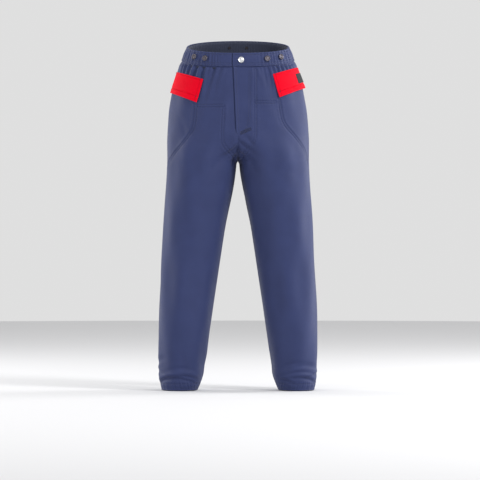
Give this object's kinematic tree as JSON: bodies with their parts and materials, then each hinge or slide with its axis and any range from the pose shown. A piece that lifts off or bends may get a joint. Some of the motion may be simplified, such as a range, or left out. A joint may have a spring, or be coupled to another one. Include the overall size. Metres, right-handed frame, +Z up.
{
  "type": "chainsaw trousers",
  "caption": "Padded full-length forestry trousers with hip pocket flaps, a zipped fly and an elasticated waist with brace buttons.",
  "frame": {"origin": "centre of the waist opening, level with the top of the band at the sides", "axes": "+X to the wearer's left, -Y out of the front, +Z up"},
  "size_m": [0.444, 0.2398, 0.9813],
  "materials": {
    "navy_cloth": "twill",
    "red_cloth": "plain weave",
    "inner_cloth": "plain weave",
    "lining": "mesh knit",
    "pad_knit": "warp knit",
    "pad_fibre": "loose long fibre",
    "elastic": "ribbed elastic",
    "thread": "stitching",
    "label": "woven",
    "zip_tape": "woven tape",
    "zip_metal": "worn",
    "silver": "polished",
    "bronze": "aged"
  },
  "bodies": {
    "garment": {"zip_teeth_left": "zip_metal", "zip_top_stop_left": "zip_metal", "zip_teeth_right": "zip_metal", "zip_top_stop_right": "zip_metal", "zip_bottom_stop": "zip_metal", "left_front_panel": "navy_cloth", "left_back_panel": "navy_cloth", "left_pad_cover": "pad_knit", "left_pad_core": "pad_fibre", "left_pad_backing": "pad_knit", "left_lining": "lining", "left_pocket_bag": "inner_cloth", "left_hem_elastic": "elastic", "left_hem_turn_up": "inner_cloth", "right_front_panel": "navy_cloth", "right_back_panel": "navy_cloth", "right_pad_cover": "pad_knit", "right_pad_core": "pad_fibre", "right_pad_backing": "pad_knit", "right_lining": "lining", "right_pocket_bag": "inner_cloth", "right_hem_elastic": "elastic", "right_hem_turn_up": "inner_cloth", "waistband": "navy_cloth", "waistband_facing": "inner_cloth", "waist_elastic": "elastic", "fly_shield": "inner_cloth", "zip_tape_left": "zip_tape", "zip_tape_right": "zip_tape", "fly_bartack": "thread", "stud_knob": "silver", "stud_rivet": "silver", "brace_button_front_1": "bronze", "brace_tack_front_1": "bronze", "brace_button_front_2": "bronze", "brace_tack_front_2": "bronze", "brace_button_front_3": "bronze", "brace_tack_front_3": "bronze", "brace_button_front_4": "bronze", "brace_tack_front_4": "bronze", "brace_button_back_1": "bronze", "brace_tack_back_1": "bronze", "brace_button_back_2": "bronze", "brace_tack_back_2": "bronze"},
    "fly_flap": {"fly_overlap": "navy_cloth", "waistband_overlap_end": "navy_cloth", "stud_cap": "silver", "stud_socket": "silver"},
    "left_flap": {"left_pocket_flap": "red_cloth", "flap_label": "label"},
    "right_flap": {"right_pocket_flap": "red_cloth"},
    "slider": {"zip_slider": "zip_metal"},
    "pull": {"zip_pull": "zip_metal"}
  },
  "joints": [
    {"name": "fly_flap_hinge", "type": "hinge", "parent": "garment", "child": "fly_flap", "pos_m": [0.0002, -0.11177, -0.24124], "axis": [0.2224, 0.0699, 0.9725], "range_deg": [0, 110]},
    {"name": "left_flap_hinge", "type": "hinge", "parent": "garment", "child": "left_flap", "pos_m": [0.14951, -0.04996, -0.06295], "axis": [-0.5981, -0.7805, -0.1817], "range_deg": [0, 150]},
    {"name": "right_flap_hinge", "type": "hinge", "parent": "garment", "child": "right_flap", "pos_m": [-0.15182, -0.05164, -0.0763], "axis": [-0.6202, 0.762, 0.186], "range_deg": [0, 150]},
    {"name": "zip_slide", "type": "slide", "parent": "garment", "child": "slider", "axis": [0, -0.0499, -0.9988], "range_m": [0, 0.148]},
    {"name": "zip_pull_hinge", "type": "hinge", "parent": "slider", "child": "pull", "pos_m": [0, -0.09714, -0.07095], "axis": [-1, 0, 0], "range_deg": [0, 150]}
  ],
  "couplings": [
    {"joint": "zip_pull_hinge", "follows": "fly_flap_hinge", "ratio": 1.25}
  ]
}
